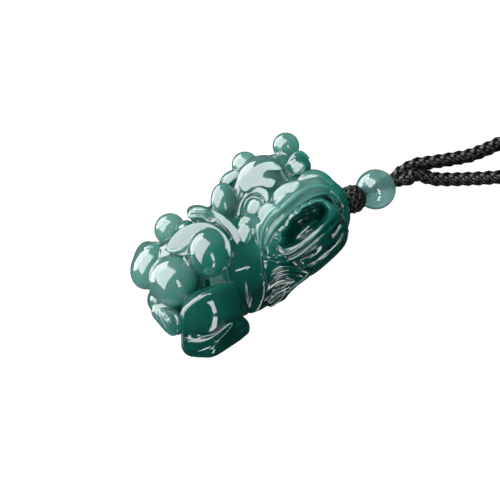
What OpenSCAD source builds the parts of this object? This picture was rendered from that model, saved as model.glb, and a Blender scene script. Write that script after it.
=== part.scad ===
// Jade pendant carved as a crouching winged beast, with its bead, knots and braided neck cord.
// It lies on its far flank: +X runs from the rump to the cord, +Y is the back, +Z is the face.

/* [Jade carving] */
// Length of the carving, from the rump to the thread hole
carving_l = 36; // [30:0.5:44]
// Height of the carving, from the feet to the balls on the head
carving_h = 24; // [20:0.5:30]
// Thickness of the carving, from the flat it lies on to the upper lip
carving_t = 18; // [15:0.5:22]
// Depth of the open mouth below the upper lip
mouth_depth = 5; // [3:0.5:6]

/* [Bead] */
// Diameter of the round bead
bead_d = 6.5; // [5:0.25:8]

/* [Thread] */
// Diameter of the thread that holds carving, knot and bead together
thread_d = 1.2; // [0.8:0.1:1.4]
// Room round the thread in each drilled hole
hole_room = 0.2; // [0.1:0.05:0.4]
// Diameter of the knot that stops the thread inside the carving
stop_d = 2.4; // [2:0.1:2.8]

/* [Knots] */
// Diameter of the knobbly knot between carving and bead
knot_d = 4.7; // [3.8:0.1:5.4]
// Length of the knobbly knot
knot_l = 3.3; // [2.6:0.1:4.5]
// Diameter of the barrel knot that closes the neck cord
closing_d = 5; // [4.4:0.1:6]
// Length of the barrel knot that closes the neck cord
closing_l = 8; // [6:0.5:12]
// Gap kept between neighbouring pieces
piece_gap = 0.1; // [0.05:0.05:0.2]

/* [Neck cord] */
// Diameter of each braided cord
cord_d = 2.4; // [2:0.1:2.8]
// Length of the gather where both cords come together behind the bead
gather_l = 2.6; // [2:0.1:4]

/* [Hidden] */

// Facets of large and small carved forms, and of turned pieces
facets_large = 24;
facets_small = 16;
facets_round = 48;
// How far a cut runs past a face
cut_over = 1;

// Domes of the carving: name, centre x y z, radii x y z, turn about Z in degrees.
// x is a share of carving_l, y of carving_h and z of carving_t, and so are the radii.
DOMES = [
    ["skull",         0.200, -0.020, 0.430, 0.255, 0.375, 0.430,  0],
    ["cheek back",    0.370, -0.080, 0.380, 0.125, 0.200, 0.280,  0],
    ["forehead",      0.205,  0.255, 0.660, 0.125, 0.175, 0.240,  0],
    ["face",          0.235,  0.040, 0.600, 0.215, 0.220, 0.230,  0],
    ["jaw",           0.224, -0.222, 0.550, 0.182, 0.270, 0.370,  0],
    ["body",         -0.080,  0.060, 0.400, 0.200, 0.280, 0.330,  0],
    ["rump",         -0.280,  0.120, 0.360, 0.150, 0.240, 0.310,  0],
    ["hip",          -0.191,  0.110, 0.490, 0.136, 0.204, 0.270,  0],
    ["hip under",    -0.190,  0.080, 0.280, 0.150, 0.230, 0.270,  0],
    ["lobe a",       -0.385,  0.034, 0.510, 0.110, 0.166, 0.240,  0],
    ["lobe a under", -0.360,  0.060, 0.260, 0.100, 0.160, 0.220,  0],
    ["chest",         0.000, -0.260, 0.420, 0.140, 0.190, 0.300,  0],
    ["belly",        -0.140, -0.150, 0.400, 0.150, 0.170, 0.290,  0],
    ["underside",     0.020, -0.010, 0.220, 0.300, 0.260, 0.265,  0]
];

// Smaller domes, with the same columns
SMALL_DOMES = [
    ["hip ball",     -0.200,  0.012, 0.650, 0.118, 0.136, 0.180, 54],
    ["lobe c",       -0.211,  0.437, 0.333, 0.070, 0.102, 0.160,  0],
    ["lobe d",       -0.397,  0.301, 0.333, 0.112, 0.098, 0.170, 54],
    ["horn ball",     0.198,  0.420, 0.640, 0.061, 0.092, 0.120,  0],
    ["side ball",     0.410,  0.405, 0.610, 0.060, 0.090, 0.120,  0],
    ["ear curl",      0.023,  0.315, 0.611, 0.074, 0.080, 0.140, 54],
    ["mouth bump",   -0.007, -0.003, 0.722, 0.042, 0.048, 0.090, 54],
    ["nose",          0.233,  0.043, 0.850, 0.040, 0.060, 0.080,  0],
    ["left eye",      0.084,  0.084, 0.778, 0.034, 0.048, 0.070,  0],
    ["right eye",     0.362,  0.165, 0.760, 0.030, 0.045, 0.070,  0],
    ["lip end",       0.430,  0.060, 0.620, 0.058, 0.087, 0.120,  0],
    ["right cheek",   0.400, -0.172, 0.667, 0.062, 0.092, 0.140,  0],
    ["left corner",  -0.005, -0.246, 0.730, 0.050, 0.070, 0.100,  0],
    ["spine scale",  -0.088,  0.355, 0.490, 0.055, 0.055, 0.120, 30]
];

// Rounded chains of the carving: each row is a run of balls, and a ball is
// centre x y z as above and a radius as a share of carving_t.
CHAINS = [
    // upper lip
    [[0.000, -0.140, 0.780, 0.080], [0.060, -0.045, 0.830, 0.088], [0.150, -0.035, 0.850, 0.090],
        [0.250, -0.010, 0.850, 0.090], [0.340, 0.000, 0.810, 0.085], [0.435, -0.076, 0.690, 0.080]],
    // stalk of the side ball
    [[0.330, 0.250, 0.550, 0.150], [0.390, 0.370, 0.580, 0.080]],
    // tip of the right brow
    [[0.340, 0.210, 0.640, 0.080], [0.415, 0.220, 0.650, 0.055]],
    // small bump on the crown, between the ear and the horn ball
    [[0.060, 0.340, 0.560, 0.080], [0.111, 0.425, 0.583, 0.060], [0.170, 0.390, 0.600, 0.070]],
    // mane behind the head
    [[-0.052, 0.274, 0.590, 0.075], [-0.055, 0.121, 0.690, 0.080], [-0.073, -0.039, 0.690, 0.080]],
    // near hind foot
    [[-0.485, -0.405, 0.440, 0.105], [-0.425, -0.475, 0.440, 0.120], [-0.280, -0.470, 0.440, 0.110]],
    // far hind leg and foot
    [[-0.300, -0.140, 0.300, 0.200], [-0.380, -0.310, 0.230, 0.130], [-0.290, -0.320, 0.230, 0.120]],
    // tail curl beside the hind leg
    [[-0.455, 0.040, 0.390, 0.080], [-0.490, -0.060, 0.389, 0.095], [-0.490, -0.170, 0.361, 0.085]],
    // neck and near front leg
    [[-0.057, -0.096, 0.611, 0.170], [-0.082, -0.192, 0.650, 0.150], [-0.138, -0.318, 0.611, 0.120],
        [-0.200, -0.390, 0.560, 0.070]],
    // far front leg
    [[-0.040, -0.150, 0.300, 0.180], [-0.110, -0.250, 0.250, 0.120], [-0.170, -0.290, 0.230, 0.080]],
    // beard running from the chin to the front leg
    [[0.090, -0.400, 0.600, 0.123], [0.001, -0.415, 0.600, 0.110], [-0.072, -0.402, 0.556, 0.108],
        [-0.140, -0.390, 0.500, 0.100]]
];

// Near hind leg: one block round these balls, in the same columns
THIGH = [[-0.379, -0.222, 0.540, 0.130], [-0.246, -0.265, 0.540, 0.140], [-0.450, -0.350, 0.480, 0.110],
    [-0.290, -0.390, 0.480, 0.120]];

// Balls that the mouth is cut with, from its left to its right corner, in the same columns
MOUTH = [[0.065, -0.280, 0.890, 0.070], [0.185, -0.235, 0.910, 0.085], [0.295, -0.205, 0.870, 0.075]];

// Holes for the thread: it enters at the cord end and turns down to a pocket in the flat
hole_d = thread_d + 2 * hole_room;
bore_x = 0.50 * carving_l;
bore_y = -0.067 * carving_h;
bore_z = 0.30 * carving_t;
turn_x = 0.30 * carving_l;
pocket_d = stop_d + 2 * hole_room;
pocket_h = 0.20 * carving_t;

// Thread axis, from the carving's hole through the knot to the bead that lies on the surface
bead_from_bore = 2 * piece_gap + knot_l + bead_d / 2;
thread_tilt = asin((bore_z - bead_d / 2) / bead_from_bore);
bead_x = bore_x + bead_from_bore * cos(thread_tilt);
bead_z = bead_d / 2;
thread_end = bead_d / 2 + gather_l / 2;
// Where the thread turns down inside the carving
turn_z = bore_z + (bore_x - turn_x) * tan(thread_tilt);
turn_reach = (bead_x - turn_x) / cos(thread_tilt);

// Both cords start side by side behind the gather, the front one a little higher
gather_x = bead_x + bead_d / 2 + gather_l;
loop_turn = -24;
closing_reach = closing_l / 2 + piece_gap;
closing_lift = (closing_d - cord_d) / 2;

// Route of the neck cord, from the gather to the closing knot at the far end of the loop.
// u runs along the loop, w across it, and the third number is the lift off the surface, all in mm.
loop_u = 222;
FIRST_BACK = [[-0.4, 1, 0], [2, 1.9, 0], [4.4, 1.9, 0], [8.4, 1.8, 0], [12.2, 2, 0]];
FIRST_FRONT = [[0.4, -1, 1.2], [1.9, -0.5, 1.1], [4.5, -1.4, 0.3], [7.7, -2, 0], [11.2, -2.6, 0]];
LOOP = [[20, 4.2, 0], [32, 9, 0], [50, 18, 0], [75, 32, 0], [102, 45, 0], [130, 54, 0],
    [158, 57.5, 0], [184, 53, 0], [205, 41, 0], [217, 25, 0], [221.6, 11, 0.3]];
BACK_ROUTE = concat(FIRST_BACK, LOOP, [[loop_u, closing_reach, closing_lift]]);
FRONT_ROUTE = concat(FIRST_FRONT, [for (p = LOOP) [p[0], -p[1], p[2]]],
    [[loop_u, -closing_reach, closing_lift]]);
// Distance between the tube's rings, and its sides
ring_apart = 3 * cord_d;
cord_sides = 8;

function along(p, i) = p[max(0, min(len(p) - 1, i))];
function spline(a, b, c, d, t) =
    0.5 * (2 * b + (c - a) * t + (2 * a - 5 * b + 4 * c - d) * t * t
    + (3 * b - a - 3 * c + d) * t * t * t);
function ring_steps(a, b) = max(1, round(norm(b - a) / ring_apart));
function smooth_route(p) = concat(
    [for (i = [0 : len(p) - 2])
        let (steps = ring_steps(p[i], p[i + 1]))
        for (k = [0 : steps - 1])
            spline(along(p, i - 1), p[i], p[i + 1], along(p, i + 2), k / steps)],
    [p[len(p) - 1]]);
function heading(p, i) =
    let (d = along(p, i + 1) - along(p, i - 1)) atan2(d[1], d[0]);
function ring(at, turn, d, sides) = [for (k = [0 : sides - 1])
    let (a = 360 * (k + 0.5) / sides)
    at + d / 2 * [-cos(a) * sin(turn), cos(a) * cos(turn), 1 + sin(a)]];

// Tube that lies on the surface along a route
module lying_tube(route, d, sides) {
    points = [for (i = [0 : len(route) - 1]) each ring(route[i], heading(route, i), d, sides)];
    n = len(route);
    walls = [for (i = [0 : n - 2]) for (k = [0 : sides - 1])
        let (a = i * sides + k, b = i * sides + (k + 1) % sides)
        each [[a, b + sides, b], [a, a + sides, b + sides]]];
    caps = [[for (k = [0 : sides - 1]) k], [for (k = [sides - 1 : -1 : 0]) (n - 1) * sides + k]];
    polyhedron(points = points, faces = concat(walls, caps), convexity = 6);
}

// Frame of the neck cord's loop, with its origin where the cords leave the gather
module on_loop() {
    translate([gather_x, bore_y, 0]) rotate(loop_turn) children();
}

// Place given as shares of the carving's sizes
function at_share(r) = [r[0] * carving_l, r[1] * carving_h, r[2] * carving_t];

// One dome, as a closed mesh
module dome(row, facets) {
    translate(at_share([row[1], row[2], row[3]]))
        rotate(row[7])
            hull() scale(at_share([row[4], row[5], row[6]])) sphere(r = 1, $fn = facets);
}

module one_ball(ball, facets) {
    translate(at_share(ball)) sphere(r = ball[3] * carving_t, $fn = facets);
}

// Balls joined one after another
module chain(balls, facets) {
    for (i = [0 : len(balls) - 2])
        hull() {
            one_ball(balls[i], facets);
            one_ball(balls[i + 1], facets);
        }
}

// The open mouth: the balls of its table, drawn down by the mouth's depth
module mouth_hollow() {
    for (i = [0 : len(MOUTH) - 2])
        hull() for (drop = [0, mouth_depth]) translate([0, 0, -drop]) {
            one_ball(MOUTH[i], facets_small);
            one_ball(MOUTH[i + 1], facets_small);
        }
}

// Places things along the thread: x = 0 is the bead's centre, and +x leads to the cord
module on_thread() {
    translate([bead_x, bore_y, bead_z]) rotate([0, thread_tilt, 0]) children();
}

module thread_holes() {
    on_thread() rotate([0, -90, 0])
        cylinder(d = hole_d, h = turn_reach + hole_d / 2, $fn = facets_small);
    translate([turn_x, bore_y, -cut_over])
        cylinder(d = hole_d, h = turn_z + hole_d / 2 + cut_over, $fn = facets_small);
    translate([turn_x, bore_y, -cut_over])
        cylinder(d = pocket_d, h = pocket_h + cut_over, $fn = facets_small);
}

module pixiu() {
    color("seagreen")
        difference() {
            union() {
                for (row = DOMES) dome(row, facets_large);
                for (row = SMALL_DOMES) dome(row, facets_small);
                for (balls = CHAINS) chain(balls, facets_small);
                hull() for (ball = THIGH) one_ball(ball, facets_small);
            }
            mouth_hollow();
            thread_holes();
            translate([-carving_l, -carving_h, -carving_t])
                cube([2 * carving_l, 2 * carving_h, carving_t]);
        }
}

module hang_thread() {
    color("black")
        union() {
            on_thread() translate([thread_end, 0, 0]) rotate([0, -90, 0])
                cylinder(d = thread_d, h = thread_end + turn_reach, $fn = facets_round);
            translate([turn_x, bore_y, turn_z]) sphere(d = thread_d, $fn = facets_round);
            translate([turn_x, bore_y, pocket_h / 2])
                cylinder(d = thread_d, h = turn_z - pocket_h / 2, $fn = facets_round);
            translate([turn_x, bore_y, pocket_h / 2]) sphere(d = stop_d, $fn = facets_round);
        }
}

module pendant_knot() {
    color("black")
        on_thread() translate([-bead_d / 2 - piece_gap - knot_l, 0, 0]) rotate([0, 90, 0])
            difference() {
                rotate_extrude($fn = facets_round)
                    polygon([[0, 0], [0.36 * knot_d, 0], [0.46 * knot_d, 0.12 * knot_l],
                        [0.50 * knot_d, 0.35 * knot_l], [0.50 * knot_d, 0.65 * knot_l],
                        [0.46 * knot_d, 0.88 * knot_l], [0.36 * knot_d, knot_l], [0, knot_l]]);
                translate([0, 0, -cut_over])
                    cylinder(d = thread_d + 2 * piece_gap, h = knot_l + 2 * cut_over,
                        $fn = facets_round);
            }
}

module bead() {
    color("cadetblue")
        on_thread() rotate([0, 90, 0])
            rotate_extrude($fn = facets_round)
                difference() {
                    circle(d = bead_d, $fn = facets_round);
                    translate([hole_d / 2 - 2 * bead_d, -bead_d]) square(2 * bead_d);
                }
}

// Disc across a route's first point, as wide as the cord
module first_disc(route) {
    translate(route[0] + [0, 0, cord_d / 2]) rotate([0, 90, heading(route, 0)])
        translate([0, 0, -3 * piece_gap]) cylinder(d = cord_d, h = piece_gap, $fn = facets_small);
}

module gather() {
    color("black")
        difference() {
            hull() {
                on_thread() translate([bead_d / 2 + piece_gap, 0, 0]) rotate([0, 90, 0])
                    cylinder(d = 0.85 * cord_d, h = piece_gap, $fn = facets_small);
                on_loop() first_disc(BACK_ROUTE);
                on_loop() first_disc(FRONT_ROUTE);
            }
            on_thread() rotate([0, 90, 0])
                cylinder(d = thread_d + 2 * piece_gap, h = thread_end + piece_gap,
                    $fn = facets_small);
        }
}

module cord_back() {
    color("black") on_loop() lying_tube(smooth_route(BACK_ROUTE), cord_d, cord_sides);
}

module cord_front() {
    color("black") on_loop() lying_tube(smooth_route(FRONT_ROUTE), cord_d, cord_sides);
}

module closing_knot() {
    color("black")
        on_loop() translate([loop_u, closing_l / 2, closing_d / 2]) rotate([90, 0, 0])
            cylinder(d = closing_d, h = closing_l, $fn = facets_round);
}

pixiu();
hang_thread();
pendant_knot();
bead();
gather();
cord_back();
cord_front();
closing_knot();
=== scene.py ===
"""Looks of a jade pendant: a carved beast, a round bead and a braided neck cord.

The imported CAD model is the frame. X runs from the beast's rump to the cord, Y to its back and
Z up to its face. Lengths are metres unless a name or a comment says millimetres.
The carving is sculpted as a distance field: domes and runs first, then the forms and lines that
the photograph shows, which are placed by pixels of that photograph.
"""
import math

import bpy
import numpy as np
import openvdb
from mathutils import Matrix, Vector


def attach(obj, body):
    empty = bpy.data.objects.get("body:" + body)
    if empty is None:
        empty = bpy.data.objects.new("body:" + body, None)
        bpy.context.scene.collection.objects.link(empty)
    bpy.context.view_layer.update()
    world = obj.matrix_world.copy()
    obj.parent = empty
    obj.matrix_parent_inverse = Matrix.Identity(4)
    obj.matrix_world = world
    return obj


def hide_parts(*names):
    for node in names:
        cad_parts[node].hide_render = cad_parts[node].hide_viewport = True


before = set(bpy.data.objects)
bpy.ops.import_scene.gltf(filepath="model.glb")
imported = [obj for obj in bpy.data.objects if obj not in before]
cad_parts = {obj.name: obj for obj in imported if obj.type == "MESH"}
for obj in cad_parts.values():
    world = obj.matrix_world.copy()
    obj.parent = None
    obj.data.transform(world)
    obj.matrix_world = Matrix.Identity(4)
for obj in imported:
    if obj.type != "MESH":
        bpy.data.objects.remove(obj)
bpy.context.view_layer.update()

MM = 0.001

# Camera: the photograph looks down at the beast's face from its left, with the cord to the right
PIXEL_MM = 0.158
PHOTO_ORIGIN = (247.0, 270.0)
PHOTO_MIDDLE = (250.0, 250.0)
PHOTO_WIDTH = 500
CAMERA_AZIMUTH = math.radians(-36.0)
CAMERA_HEIGHT = math.radians(60.0)
CAMERA_DISTANCE = 0.8
AIM_DEPTH_MM = 11.0
RIGHT = np.array([math.cos(CAMERA_AZIMUTH), math.sin(CAMERA_AZIMUTH), 0.0])
AHEAD = np.array([-math.sin(CAMERA_AZIMUTH), math.cos(CAMERA_AZIMUTH), 0.0])
UP = math.sin(CAMERA_HEIGHT) * AHEAD + math.cos(CAMERA_HEIGHT) * np.array([0.0, 0.0, 1.0])
TOWARD = np.cross(RIGHT, UP)


def camera_way(right, up, toward):
    """Direction or point given to the right, up and toward the camera"""
    return right * RIGHT + up * UP + toward * TOWARD


def in_photo_plane(x, y):
    """Millimetres right and up of the origin, as the photograph's pixel x, y shows them"""
    return (x - PHOTO_ORIGIN[0]) * PIXEL_MM, (PHOTO_ORIGIN[1] - y) * PIXEL_MM


def at_pixel(x, y, toward):
    """Point in mm that pixel x, y shows, toward mm on the camera's side of the origin"""
    return camera_way(*in_photo_plane(x, y), toward)


def make_camera():
    data = bpy.data.cameras.new("camera")
    data.sensor_width = 36.0
    data.lens = data.sensor_width * CAMERA_DISTANCE / (PHOTO_WIDTH * PIXEL_MM * MM)
    data.clip_start, data.clip_end = 0.01, 50.0
    camera = bpy.data.objects.new("camera", data)
    bpy.context.scene.collection.objects.link(camera)
    camera.location = Vector(at_pixel(*PHOTO_MIDDLE, AIM_DEPTH_MM) * MM) + Vector(TOWARD) * CAMERA_DISTANCE
    camera.rotation_mode = "QUATERNION"
    camera.rotation_quaternion = Vector(-TOWARD).to_track_quat("-Z", "Y")
    bpy.context.scene.camera = camera


# ---- Curves and tubes -----------------------------------------------------------------------

PATH_STEPS = 24


def catmull_rom(P, steps):
    """Curve from the second of the points P up to the last but one, with steps(b, c) points from b to c"""
    out = []
    for a, b, c, d in zip(P[:-3], P[1:-2], P[2:-1], P[3:]):
        n = steps(b, c)
        t = np.arange(n)[:, None] / n
        out.append(0.5 * (2 * b + (c - a) * t + (2 * a - 5 * b + 4 * c - d) * t ** 2
                          + (3 * b - a - 3 * c + d) * t ** 3))
    return np.vstack(out)


def straight_on(P):
    """Points with one more at each end, straight on"""
    return np.vstack([2 * P[0] - P[1], P, 2 * P[-1] - P[-2]])


def smooth_path(points, apart):
    """Curve through the points in even steps, and its length up to each"""
    out = np.vstack([catmull_rom(straight_on(points), lambda b, c: PATH_STEPS), points[-1:]])
    reach = np.concatenate([[0], np.cumsum(np.linalg.norm(np.diff(out, axis=0), axis=1))])
    even = np.linspace(0, reach[-1], max(2, int(round(reach[-1] / apart)) + 1))
    return np.stack([np.interp(even, reach, out[:, i]) for i in range(3)], 1), even


def units(vectors):
    return vectors / np.linalg.norm(vectors, axis=1)[:, None]


def sweep(path, across, wide, thick, sides, shut=False):
    """Vertices and faces of a tube with an oval section; across is the side its thickness lies along"""
    T = units(np.roll(path, -1, 0) - np.roll(path, 1, 0) if shut else np.gradient(path, axis=0))
    N = units(across - (across * T).sum(1)[:, None] * T)
    B = np.cross(T, N)
    wide = np.broadcast_to(wide, (len(path),))[:, None]
    thick = np.broadcast_to(thick, (len(path),))[:, None]
    rings = [path + math.cos(a) * thick / 2 * N + math.sin(a) * wide / 2 * B
             for a in 2 * math.pi * np.arange(sides) / sides]
    verts = np.stack(rings, 1).reshape(-1, 3)
    n = len(path)
    i = np.arange(n if shut else n - 1)[:, None] * sides
    j = np.arange(sides)[None, :]
    k = (j + 1) % sides
    up = (i + sides) % (n * sides)
    faces = np.stack([i + j, up + j, up + k, i + k], -1).reshape(-1, 4).tolist()
    if not shut:
        faces.append(list(range(sides)))
        faces.append([n * sides - 1 - m for m in range(sides)])
    return verts, faces


def join(parts):
    """Several vertex and face lists as one"""
    verts, faces, start = [], [], 0
    for v, f in parts:
        verts.append(v)
        faces += [[start + i for i in face] for face in f]
        start += len(v)
    return np.vstack(verts), faces


def volume(verts, faces):
    """Six times the volume inside, less than nothing where the faces look inward"""
    fans = np.array([(face[0], face[i], face[i + 1]) for face in faces for i in range(1, len(face) - 1)])
    a, b, c = (verts[fans[:, i]] for i in range(3))
    return (a * np.cross(b, c)).sum()


def mesh_piece(name, verts_mm, faces, material, slot, node):
    """Smooth mesh that rides on the root body and stands for a CAD node"""
    verts = np.asarray(verts_mm, float) * MM
    if volume(verts, faces) < 0:
        faces = [face[::-1] for face in faces]
    mesh = bpy.data.meshes.new(name)
    mesh.from_pydata(verts.tolist(), [], faces)
    mesh.polygons.foreach_set("use_smooth", [True] * len(mesh.polygons))
    mesh.materials.append(material)
    mesh.validate()
    mesh.update()
    piece = bpy.data.objects.new(name, mesh)
    bpy.context.scene.collection.objects.link(piece)
    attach(piece, "root")
    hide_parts(node)
    return piece


# ---- Neck cord ------------------------------------------------------------------------------

CORD_MM = 2.4
GATHER_X_MM = 30.294
BORE_Y_MM = -1.608
LOOP_TURN = math.radians(-24.0)
# Points of the two halves in mm: along the loop, across it, and lift off the surface
FIRST_BACK = [(-0.4, 1, 0), (2, 1.9, 0), (4.4, 1.9, 0), (8.4, 1.8, 0), (12.2, 2, 0)]
FIRST_FRONT = [(0.4, -1, 1.2), (1.9, -0.5, 1.1), (4.5, -1.4, 0.3), (7.7, -2, 0), (11.2, -2.6, 0)]
LOOP = [(20, 4.2, 0), (32, 9, 0), (50, 18, 0), (75, 32, 0), (102, 45, 0), (130, 54, 0), (158, 57.5, 0), (184, 53, 0),
    (205, 41, 0), (217, 25, 0), (221.6, 11, 0.3)]
LOOP_END = [(222, 4.1, 1.3)]

# Braid: eight flat strands, four each way round, that go over two and under two
BRAID_LEAD_MM = 6.8
STRANDS_EACH_WAY = 4
STRAND_SIDES = 6
STRAND_WIDE_MM = 0.86
STRAND_THICK_MM = 0.52
BRAID_MID_MM = 0.79
BRAID_WAVE_MM = 0.14
BRAID_STEP_MM = BRAID_LEAD_MM / 24


def on_loop(points, side=1):
    """Loop points as points in mm of the frame, at the cord's centre line"""
    c, s = math.cos(LOOP_TURN), math.sin(LOOP_TURN)
    return np.array([(GATHER_X_MM + c * u - s * side * w, BORE_Y_MM + s * u + c * side * w, lift + CORD_MM / 2)
                     for u, w, lift in points])


def lift_of(step, i, way):
    """Whether strand i lies on top (1) or below (-1) at each crossing"""
    if way > 0:
        return np.where((step + 2 * i) % 4 < 2, 1.0, -1.0)
    return np.where((step + 2 * (i - step)) % 4 < 2, -1.0, 1.0)


def braid(path, reach, taper=1.0):
    """The eight strands round a path, as vertices and faces"""
    T = units(np.gradient(path, axis=0))
    A = units(TOWARD - (T @ TOWARD)[:, None] * T)
    B = np.cross(T, A)
    crossing = BRAID_LEAD_MM / (2 * STRANDS_EACH_WAY)
    m = np.floor(reach / crossing).astype(int)
    f = reach / crossing - m
    ease = f * f * (3 - 2 * f)
    parts = []
    for way in (1, -1):
        for i in range(STRANDS_EACH_WAY):
            turn = way * 2 * math.pi * reach / BRAID_LEAD_MM + 2 * math.pi * i / STRANDS_EACH_WAY
            lift = lift_of(m, i, way) * (1 - ease) + lift_of(m + 1, i, way) * ease
            radius = (BRAID_MID_MM + BRAID_WAVE_MM * lift) * taper
            out = np.cos(turn)[:, None] * A + np.sin(turn)[:, None] * B
            parts.append(sweep(path + radius[:, None] * out, out, STRAND_WIDE_MM * taper, STRAND_THICK_MM * taper,
                               STRAND_SIDES))
    return join(parts)


def make_cord(name, first, side, material):
    points = np.vstack([on_loop(first), on_loop(LOOP + LOOP_END, side)])
    mesh_piece(name + "_braid", *braid(*smooth_path(points, BRAID_STEP_MM)), material, "cord", name)


# ---- Materials ------------------------------------------------------------------------------

class Shading:
    """Material with its nodes"""

    def __init__(self, name):
        self.material = bpy.data.materials.new(name)
        self.material.use_nodes = True
        self.nodes, self.links = self.material.node_tree.nodes, self.material.node_tree.links
        self.shader = self.nodes["Principled BSDF"]
        self.coords = self.nodes.new("ShaderNodeTexCoord").outputs["Object"]

    def link(self, value, socket):
        self.links.new(value, self.shader.inputs[socket])

    def set(self, node, **values):
        """Sets sockets by name, with _ for each space"""
        for socket, value in values.items():
            node.inputs[socket.replace("_", " ")].default_value = value

    def noise(self, scale, detail=3.0, roughness=0.5, distortion=0.0):
        n = self.nodes.new("ShaderNodeTexNoise")
        self.set(n, Scale=scale, Detail=detail, Roughness=roughness, Distortion=distortion)
        self.links.new(self.coords, n.inputs["Vector"])
        return n.outputs["Fac"]

    def ramp(self, value, stops):
        """Colours, or greys, for a value"""
        r = self.nodes.new("ShaderNodeValToRGB")
        for i, (at, colour) in enumerate(stops):
            e = r.color_ramp.elements[i] if i < 2 else r.color_ramp.elements.new(at)
            e.position = at
            e.color = (*(colour if isinstance(colour, tuple) else (colour,) * 3), 1.0)
        self.links.new(value, r.inputs["Fac"])
        return r.outputs["Color"]

    def math(self, operation, a, b):
        n = self.nodes.new("ShaderNodeMath")
        n.operation = operation
        for i, v in enumerate((a, b)):
            if isinstance(v, (int, float)):
                n.inputs[i].default_value = v
            else:
                self.links.new(v, n.inputs[i])
        return n.outputs[0]

    def fold(self, operation, values):
        """The operation on the first two values, then on its result and each further one"""
        out = values[0]
        for value in values[1:]:
            out = self.math(operation, out, value)
        return out

    def near(self, pixel, toward, reach, rise, most):
        """Amount that grows to its most round a point of the carving"""
        away = self.nodes.new("ShaderNodeVectorMath")
        away.operation = "DISTANCE"
        self.links.new(self.coords, away.inputs[0])
        away.inputs[1].default_value = tuple(MM * at_pixel(*pixel, toward))
        amount = self.math("MULTIPLY", self.math("SUBTRACT", reach, away.outputs["Value"]), rise)
        amount = self.math("MINIMUM", self.math("MAXIMUM", amount, 0.0), abs(most))
        return self.math("MULTIPLY", amount, math.copysign(1.0, most))

    def clear_inside(self, colour, density):
        absorb = self.nodes.new("ShaderNodeVolumeAbsorption")
        self.set(absorb, Color=(*colour, 1.0), Density=density)
        self.links.new(absorb.outputs[0], self.nodes["Material Output"].inputs["Volume"])


DARK_JADE = (0.001, 0.05, 0.042)
DEEP_JADE = (0.005, 0.115, 0.094)
MID_JADE = (0.036, 0.24, 0.20)
MILKY_JADE = (0.22, 0.42, 0.385)
# The jade goes from dark to milky over these lengths in mm, from where the share is SHARE_START: partly its own tone,
# partly painted light that stands for light shining through the thin lobes at the back
TONE_AND_GLOW_SPANS_MM = {"Y": 21.0, "X": -140.0, "Z": 70.0}
SHARE_START = 0.38
CLOUD_SHARE = 0.55
# Spots darker or lighter: pixel, toward mm, reach in metres, rise for each metre, most. The first is painted shade in
# the hollow of the mouth, the second a painted glow of light through the upper lip, the last two make the near rump
# lobe and the tail lighter
SHADE_GLOW_AND_TONE_SPOTS = [((303, 226), 7, 0.0068, 250.0, -0.55), ((287, 203), 15, 0.0095, 80.0, 0.22),
    ((163, 283), 15, 0.0065, 80.0, 0.22), ((168, 322), 13, 0.0045, 120.0, 0.32)]
# The upper lip, painted lighter as a glow of light through it, and also less clear
LIP_GLOW_SPOTS = [((267, 236), 14.5, 0.0046, 80.0, 0.15), ((287, 206), 14.5, 0.0056, 80.0, 0.17),
    ((318, 190), 11.5, 0.0056, 80.0, 0.17)]
CLEARNESS = 0.5
JADE_IOR = 1.64


def jade_material():
    """Dark emerald jade that turns milky toward the beast's back, partly as painted light through its thin lobes, with
    soft clouds in it, painted shade in the mouth and a painted glow on the upper lip
    """
    m = Shading("jade")
    xyz = m.nodes.new("ShaderNodeSeparateXYZ")
    m.links.new(m.coords, xyz.inputs[0])
    # Slopes toward the back: the jade's tone, partly painted light shining through the thin lobes
    slopes = [m.math("MULTIPLY", xyz.outputs[axis], 1 / (MM * span)) for axis, span in TONE_AND_GLOW_SPANS_MM.items()]
    # Painted glow of light through the upper lip, which also makes it less clear
    lip_glow_and_haze = m.fold("MAXIMUM", [m.near(*spot) for spot in LIP_GLOW_SPOTS])
    cloud = m.math("MULTIPLY", m.math("SUBTRACT", m.noise(95.0, 4.0, 0.55, 0.6), 0.5), CLOUD_SHARE)
    # Share of the ramp: tone slopes, painted shade in the mouth, painted glow on the lips, and clouds
    share = m.fold("ADD", slopes + [SHARE_START] + [m.near(*tone) for tone in SHADE_GLOW_AND_TONE_SPOTS] + [lip_glow_and_haze, cloud])
    m.link(m.ramp(share, [(0.0, DARK_JADE), (1.0, MILKY_JADE), (0.22, DEEP_JADE), (0.62, MID_JADE)]), "Base Color")
    m.link(m.math("SUBTRACT", CLEARNESS, lip_glow_and_haze), "Transmission Weight")
    m.link(m.ramp(m.noise(900.0, 2.0), [(0.3, 0.045), (0.75, 0.052)]), "Roughness")
    m.set(m.shader, Subsurface_Weight=1.0, Subsurface_Radius=(0.3, 1.0, 0.8), Subsurface_Scale=0.0035, IOR=JADE_IOR)
    m.clear_inside((0.06, 0.62, 0.52), 160.0)
    return m.material


def bead_material():
    """Pale grey-green jade"""
    m = Shading("pale_jade")
    cloud = m.noise(260.0, 4.0, 0.55, 0.8)
    m.link(m.ramp(cloud, [(0.3, (0.17, 0.36, 0.33)), (0.7, (0.29, 0.50, 0.47))]), "Base Color")
    m.link(m.ramp(m.noise(1500.0, 2.0), [(0.3, 0.06), (0.75, 0.10)]), "Roughness")
    m.set(m.shader, Transmission_Weight=0.6, Subsurface_Weight=1.0, Subsurface_Radius=(0.7, 1.0, 0.9),
          Subsurface_Scale=0.0015, IOR=JADE_IOR)
    m.clear_inside((0.30, 0.72, 0.70), 90.0)
    return m.material


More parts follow.
